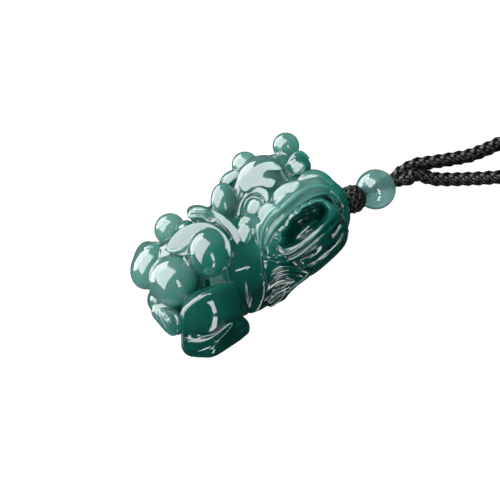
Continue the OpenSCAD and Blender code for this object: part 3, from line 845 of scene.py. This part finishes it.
def cut_mouth(field):
    """Cuts the mouth's outline down to its sloping floor, wider at the top than below"""
    _, outline = trace(MOUTH_EDGE, MOUTH_APART)
    F = np.array(MOUTH_FLOOR, float)
    right, up = in_photo_plane(F[:, 0], F[:, 1])
    plane = np.linalg.lstsq(np.stack([np.ones(len(F)), right, up], 1), F[:, 2], rcond=None)[0]
    where, (u, v, w) = field.photo_part(outline, plane @ [1, *outline.mean(0)] + MOUTH_DEEP_MM, MOUTH_REACH_MM)
    floor = plane[0] + plane[1] * u + plane[2] * v
    close = round_outline(outline, u, v, 1) & (w > floor - 1)
    wall = np.full(u.shape, OUTSIDE_MM)
    wall[close] = outline_distance(outline, u[close], v[close])
    depth = np.clip(MOUTH_DEEP_MM - (w - floor), 0, MOUTH_DEEP_MM)
    wall = (wall + MOUTH_SLOPE * depth) / math.hypot(1, MOUTH_SLOPE)
    down = floor - w
    h = np.clip(0.5 + 0.5 * (wall - down) / MOUTH_FLOOR_BLEND_MM, 0, 1)
    field.blend(where, down + (wall - down) * h + MOUTH_FLOOR_BLEND_MM * h * (1 - h), MOUTH_EDGE_BLEND_MM, cut=True)


def thigh(field):
    """Flat block of the near hind leg, between four balls"""
    Q = np.array([at_share(b) for b in THIGH])
    R = np.array([b[3] * THICK_MM for b in THIGH])
    t = np.linspace(0, 1, THIGH_LAYERS)[:, None]
    ends = np.stack([Q[0] * (1 - t) + Q[2] * t, Q[1] * (1 - t) + Q[3] * t], 1)
    radii = np.concatenate([R[0] * (1 - t) + R[2] * t, R[1] * (1 - t) + R[3] * t], 1)
    field.rods(ends, radii, RUN_BLEND_MM)


# Thread: its holes in the carving, the bead's place and the axis from carving to cord
HOLE_MM, POCKET_MM, POCKET_DEEP_MM = 1.6, 2.8, 3.6
HOLE_BLEND_MM = 0.1
# How far the cuts reach past the carving: before the bore, and below the flat
PAST_BORE_MM, PAST_FLAT_MM = 3, 1.0
FLAT_BLEND_MM = 0.2
BORE_MM = np.array([18.0, BORE_Y_MM, 5.4])
TURN_X_MM = 10.8
BEAD_MM = 6.5
KNOT_LONG_MM, KNOT_WIDE_MM = 3.3, 4.7
GAP_MM = 0.1
BEAD_FROM_BORE_MM = 2 * GAP_MM + KNOT_LONG_MM + BEAD_MM / 2
THREAD_TILT = math.asin((BORE_MM[2] - BEAD_MM / 2) / BEAD_FROM_BORE_MM)
THREAD_AXIS = np.array([math.cos(THREAD_TILT), 0.0, -math.sin(THREAD_TILT)])
BEAD_AT_MM = BORE_MM + BEAD_FROM_BORE_MM * THREAD_AXIS


def cut_holes(field):
    """Bore for the thread, which turns down to a pocket for its stop knot"""
    inner = BORE_MM - THREAD_AXIS * (BORE_MM[0] - TURN_X_MM) / THREAD_AXIS[0]
    below = np.array([TURN_X_MM, BORE_Y_MM, -PAST_FLAT_MM])
    for ends in ([BORE_MM + PAST_BORE_MM * THREAD_AXIS, inner], [inner, below]):
        field.run(ends, HOLE_MM / 2, HOLE_BLEND_MM, cut=True)
    where, g = field.part(below - POCKET_MM, below + (0, 0, POCKET_DEEP_MM + 1))
    across = np.sqrt((g[0] - below[0]) ** 2 + (g[1] - below[1]) ** 2) - POCKET_MM / 2
    field.blend(where, np.maximum(across, g[2] - POCKET_DEEP_MM), HOLE_BLEND_MM, cut=True)


def cut_flat(field):
    """The carving lies on a flat at z = 0"""
    where, g = field.part(FIELD_LOW, FIELD_HIGH, 0.0)
    field.blend(where, np.broadcast_to(g[2], field.d.shape), FLAT_BLEND_MM, cut=True)


def sculpt():
    field = Field()

    def each(make, rows):
        for row in rows:
            make(field, *row[1:])

    for _, centre, radii, turn, soft in DOMES:
        c, s = math.cos(math.radians(turn)), math.sin(math.radians(turn))
        field.ellipsoid(at_share(centre), ((c, s, 0), (-s, c, 0), (0, 0, 1)), at_share(radii), soft)
    for _, balls in RUNS:
        field.run([at_share(b) for b in balls], [b[3] * THICK_MM for b in balls], RUN_BLEND_MM)
    thigh(field)
    each(stand, MASSES)
    each(pad, LEG_PADS)
    each(stand, LEANING + FRONT_LEG)
    each(pad, FRONT_PADS + [HIP_PAD])
    each(stand, BALLS)
    lip = np.array([[*at_pixel(x, y, toward - r * PIXEL_MM), r * PIXEL_MM] for x, y, toward, r in UPPER_LIP])
    field.run(lip[:, :3], lip[:, 3], LIP_BLEND_MM)
    each(trim, TRIMS)
    each(pad, PADS)
    each(lay_form, FORMS)
    each(draw_line, FACE_LINES)
    for pixels in tooth_outlines():
        pad(field, *TOOTH_PAD, pixels)
    cut_mouth(field)
    each(lay_form, [TONGUE])
    each(draw_line, BODY_LINES)
    cut_holes(field)
    cut_flat(field)
    return field


def make_carving(material):
    field = sculpt()
    band = 3 * VOXEL_MM
    grid = openvdb.FloatGrid(band)
    grid.copyFromArray(np.clip(field.d, -band, band).astype(np.float32))
    grid.transform = openvdb.createLinearTransform(voxelSize=VOXEL_MM)
    points, triangles, quads = grid.convertToPolygons(0.0, ADAPTIVITY)
    verts = np.asarray(points, float) + field.low
    faces = np.asarray(triangles).tolist() + np.asarray(quads).tolist()
    piece = mesh_piece("pixiu_carving", verts, faces, material, "jade", "pixiu")
    piece.data.normals_split_custom_set_from_vertices(field.normals(verts, 0.6 * VOXEL_MM).tolist())


# ---- Small pieces ---------------------------------------------------------------------------

BEAD_RIM_MM, BEAD_RIM_DEEP_MM = 0.12, 0.08
BEAD_ARC_POINTS, BEAD_HOLE_POINTS, BEAD_SIDES = 60, 12, 96

KNOT_LEADS, KNOT_BIGHTS = 5, 9
KNOT_STRAND_MM = (0.66, 0.5)
KNOT_STRAND_SIDES = 8
KNOT_POINTS_A_BIGHT = 40
KNOT_WAVE_MM = 0.11
KNOT_ROOM_MM = 0.1
# How tight the strand turns at the ends, how sharply it goes over and under, and how much it leans
KNOT_TIGHT, KNOT_SHARP, KNOT_LEAN = 0.97, 4, 0.5
# Share by which the knot and its core get narrower toward the ends, and the power of that
KNOT_NARROW = (0.26, 2.6)
KNOT_CORE_NARROW = (0.3, 3)
KNOT_CORE_DEEP_MM, KNOT_CORE_HOLE_MM = 0.35, 1.5
KNOT_CORE_SIDES = 32

# Starts of the braids: room off the bead, shares of the bead's and the loop's side in the point between,
# how far that is set back along the braid, and how thin the braids start
GATHER_ROOM_MM = 0.05
GATHER_SHARES = (0.45, 0.55)
GATHER_BACK = 0.35
GATHER_THIN = 0.62

CLOSING_LONG_MM, CLOSING_WIDE_MM = 8.0, 5.0
CLOSING_WRAP_MM = 1.15
CLOSING_WRAP_SIDES, CLOSING_POINTS_A_TURN = 10, 32
CLOSING_CORE_MM, CLOSING_CORE_IN_MM = 3.2, 0.4
CLOSING_CORE_RINGS, CLOSING_CORE_SIDES = 13, 24
# Share by which the coil and its core get narrower toward the ends, and the power of that
CLOSING_NARROW, CLOSING_CORE_NARROW, CLOSING_POWER = 0.25, 0.3, 4


def on_thread(points):
    """Points given along the thread and to its two sides, from the bead's centre, as points of the frame"""
    up = np.array([math.sin(THREAD_TILT), 0.0, math.cos(THREAD_TILT)])
    points = np.asarray(points, float)
    return BEAD_AT_MM + points[:, :1] * THREAD_AXIS + points[:, 1:2] * np.array([0.0, 1.0, 0.0]) + points[:, 2:] * up


def lathe(profile, sides):
    """Closed profile of (along, radius) turned round the thread"""
    n = len(profile)
    verts = [(x, r * math.cos(a), r * math.sin(a)) for a in 2 * math.pi * np.arange(sides) / sides for x, r in profile]
    faces = [(i * n + j, i * n + (j + 1) % n, ((i + 1) % sides) * n + (j + 1) % n, ((i + 1) % sides) * n + j)
             for i in range(sides) for j in range(n)]
    return np.array(verts), faces


def narrowed(s, share, power):
    """Full width at the middle (s = 0), narrower by a share at the ends (s = -1 and 1)"""
    return 1 - share * np.abs(s) ** power


def make_bead(material):
    """Ball with a drilled hole and rounded rims"""
    hole = HOLE_MM / 2
    radius = BEAD_MM / 2
    rim = math.asin((hole + BEAD_RIM_MM) / radius)
    arc = [(-radius * math.cos(a), radius * math.sin(a)) for a in np.linspace(rim, math.pi - rim, BEAD_ARC_POINTS)]
    end = arc[-1][0] - BEAD_RIM_DEEP_MM
    verts, faces = lathe(arc + [(x, hole) for x in np.linspace(end, -end, BEAD_HOLE_POINTS)], BEAD_SIDES)
    mesh_piece("bead_round", on_thread(verts), faces, material, "pale_jade", "bead")


def make_knot(material):
    """Woven button knot: one strand that winds to and fro over and under itself, round a core"""
    middle = -BEAD_MM / 2 - GAP_MM - KNOT_LONG_MM / 2
    half = KNOT_LONG_MM / 2 - KNOT_STRAND_MM[1] / 2
    phase = np.linspace(0, 2 * math.pi * KNOT_BIGHTS, KNOT_BIGHTS * KNOT_POINTS_A_BIGHT, endpoint=False)
    turn = phase * KNOT_LEADS / KNOT_BIGHTS
    along = half * np.arcsin(KNOT_TIGHT * np.cos(phase)) / math.asin(KNOT_TIGHT)
    over = np.cos(KNOT_LEADS * phase) * np.tanh(KNOT_SHARP * np.sin(phase))
    fullest = KNOT_WIDE_MM / 2 - KNOT_STRAND_MM[1] / 2 - KNOT_ROOM_MM
    radius = fullest * narrowed(along / half, *KNOT_NARROW) + KNOT_WAVE_MM * over
    path = np.stack([middle + along, radius * np.cos(turn), radius * np.sin(turn)], 1)
    out = np.stack([KNOT_LEAN * along / half, np.cos(turn), np.sin(turn)], 1)
    strand = sweep(path, out, *KNOT_STRAND_MM, KNOT_STRAND_SIDES, shut=True)
    outer = [(middle + half * s, (fullest - KNOT_CORE_DEEP_MM) * narrowed(s, *KNOT_CORE_NARROW))
             for s in np.linspace(-1, 1, 9)]
    inner = [(middle + half * s, KNOT_CORE_HOLE_MM / 2) for s in np.linspace(1, -1, 3)]
    core = lathe(outer + inner, KNOT_CORE_SIDES)
    verts, faces = join([strand, core])
    mesh_piece("pendant_knot_woven", on_thread(verts), faces, material, "cord", "pendant_knot")


def make_gather(material):
    """Starts of both braids, drawn together where they leave the bead"""
    mouth = on_thread([(BEAD_MM / 2 + GATHER_ROOM_MM, 0, 0)])[0]
    parts = []
    for first in (FIRST_BACK, FIRST_FRONT):
        start = on_loop(first[:2])
        heading = start[1] - start[0]
        between = mouth * GATHER_SHARES[0] + (start[0] - GATHER_BACK * heading) * GATHER_SHARES[1]
        points = np.array([mouth, between, start[0], start[1]])
        path, reach = smooth_path(points, BRAID_STEP_MM / 2)
        keep = np.argmin(np.linalg.norm(path - start[0], axis=1)) + 1
        parts.append(braid(path[:keep], reach[:keep] - reach[keep - 1], np.linspace(GATHER_THIN, 1.0, keep)))
    mesh_piece("gather_braids", *join(parts), material, "cord", "gather")


def make_closing_knot(material):
    """Barrel knot: the cord wound round both halves"""
    room = CLOSING_LONG_MM - CLOSING_WRAP_MM
    turns = int(room / CLOSING_WRAP_MM) + 1
    t = np.linspace(-1, 1, turns * CLOSING_POINTS_A_TURN)
    radius = (CLOSING_WIDE_MM - CLOSING_WRAP_MM) / 2 * narrowed(t, CLOSING_NARROW, CLOSING_POWER)
    a = t * turns * math.pi
    path = np.stack([radius * np.cos(a), room / 2 * t, radius * np.sin(a)], 1)
    out = np.stack([np.cos(a), 0 * a, np.sin(a)], 1)
    coil = sweep(path, out, CLOSING_WRAP_MM, CLOSING_WRAP_MM, CLOSING_WRAP_SIDES)
    s = np.linspace(-1, 1, CLOSING_CORE_RINGS)
    axis = np.stack([0 * s, (CLOSING_LONG_MM / 2 - CLOSING_CORE_IN_MM) * s, 0 * s], 1)
    wide = CLOSING_CORE_MM * narrowed(s, CLOSING_CORE_NARROW, CLOSING_POWER)
    core = sweep(axis, np.tile([1.0, 0, 0], (CLOSING_CORE_RINGS, 1)), wide, wide, CLOSING_CORE_SIDES)
    verts, faces = join([coil, core])
    verts += [LOOP_END[0][0], 0, CLOSING_WIDE_MM / 2 - CORD_MM / 2]
    mesh_piece("closing_knot_wound", on_loop(verts), faces, material, "cord", "closing_knot")


# ---- Light and floor ------------------------------------------------------------------------

PANEL_WATTS = 24.0
KEY_WATTS = 16.0
STRIP_WATTS = 0.9
SOFTBOX_SIZE = (1.08, 1.0)
CARD_SIZE = (1.4, 0.62)
STRIP_SIZE = (0.31, 0.115)
FLOOR_HALF = 6.0
FLOOR_DEPTH = 0.00002


def area_light(name, place, facing, along, size, energy, only_gloss=False):
    """Rectangle of light at place that faces the object, its long side along one way"""
    data = bpy.data.lights.new(name, "AREA")
    data.shape = "RECTANGLE"
    data.size, data.size_y = size
    data.energy = energy
    light = bpy.data.objects.new(name, data)
    bpy.context.scene.collection.objects.link(light)
    z = -Vector(facing).normalized()
    x = Vector(along) - Vector(along).dot(z) * z
    x.normalize()
    light.matrix_world = Matrix.Translation(Vector(place)) @ Matrix((x, z.cross(x), z)).transposed().to_4x4()
    light.visible_camera = False
    if only_gloss:
        light.visible_diffuse = False
        light.visible_transmission = False
    return light


def make_lights():
    middle = np.array([0.0, 0.0, 0.01])
    # Large softbox at the upper left, whose near edge shows as a slanting line in every ball
    softbox = (middle + camera_way(-0.58, 0.29, 0.183), camera_way(0.403, -0.149, -0.90),
               camera_way(0.577, 0.807, 0.125), SOFTBOX_SIZE)
    area_light("softbox", *softbox, 1.08 * PANEL_WATTS, only_gloss=True)
    # Card that carries the softbox's reflection on to the left edge of each ball
    card = camera_way(-0.80, 0.53, -0.28)
    area_light("card", middle + card, -card, camera_way(0.615, 0.734, 0.28), CARD_SIZE, 0.87 * PANEL_WATTS,
               only_gloss=True)
    # Soft daylight that models the forms without a second reflection
    area_light("key", *softbox, KEY_WATTS).visible_glossy = False
    # Two strips that show as a thin arc at the lower right of each ball
    for name, way, along in (("strip upper", camera_way(0.363, -0.211, 0.908), camera_way(0.230, -0.528, -0.215)),
                             ("strip lower", camera_way(0.336, -0.789, 0.514), camera_way(-0.260, -0.366, -0.423))):
        area_light(name, middle + 0.5 * way, -way, along, STRIP_SIZE, STRIP_WATTS, only_gloss=True)


def make_floor():
    """White floor that the lights neither mirror in nor shade"""
    m = Shading("floor")
    m.link(m.ramp(m.noise(30.0, 2.0), [(0.3, 0.20), (0.7, 0.21)]), "Base Color")
    m.set(m.shader, Roughness=0.9, Specular_IOR_Level=0.0, Emission_Color=(1, 1, 1, 1), Emission_Strength=0.97)
    mesh = bpy.data.meshes.new("floor")
    h, z = FLOOR_HALF, -FLOOR_DEPTH
    mesh.from_pydata([(-h, -h, z), (h, -h, z), (h, h, z), (-h, h, z)], [], [(0, 1, 2, 3)])
    mesh.materials.append(m.material)
    floor = bpy.data.objects.new("floor", mesh)
    bpy.context.scene.collection.objects.link(floor)
    floor.visible_glossy = False
    floor.visible_shadow = False


def make_world():
    """Soft grey light, a dark room in the reflections, white behind the floor's edge"""
    world = bpy.data.worlds.new("world")
    bpy.context.scene.world = world
    world.use_nodes = True
    nodes, links = world.node_tree.nodes, world.node_tree.links
    path = nodes.new("ShaderNodeLightPath")
    seen = nodes["Background"]
    seen.inputs["Color"].default_value = (0.90, 0.91, 0.92, 1)
    for ray, colour in (("Is Glossy Ray", (0.034, 0.036, 0.036, 1)), ("Is Camera Ray", (1, 1, 1, 1))):
        other = nodes.new("ShaderNodeBackground")
        other.inputs["Color"].default_value = colour
        mix = nodes.new("ShaderNodeMixShader")
        for value, socket in ((path.outputs[ray], 0), (seen.outputs[0], 1), (other.outputs[0], 2)):
            links.new(value, mix.inputs[socket])
        seen = mix
    links.new(seen.outputs[0], nodes["World Output"].inputs["Surface"])


# ---- The whole ------------------------------------------------------------------------------

make_camera()
cord = cord_material()
make_cord("cord_back", FIRST_BACK, 1, cord)
make_cord("cord_front", FIRST_FRONT, -1, cord)
make_gather(cord)
make_knot(cord)
make_closing_knot(cord)
make_bead(bead_material())
make_carving(jade_material())
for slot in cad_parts["hang_thread"].material_slots:
    slot.material = cord
make_lights()
make_floor()
make_world()
bpy.context.scene.view_settings.view_transform = "Standard"
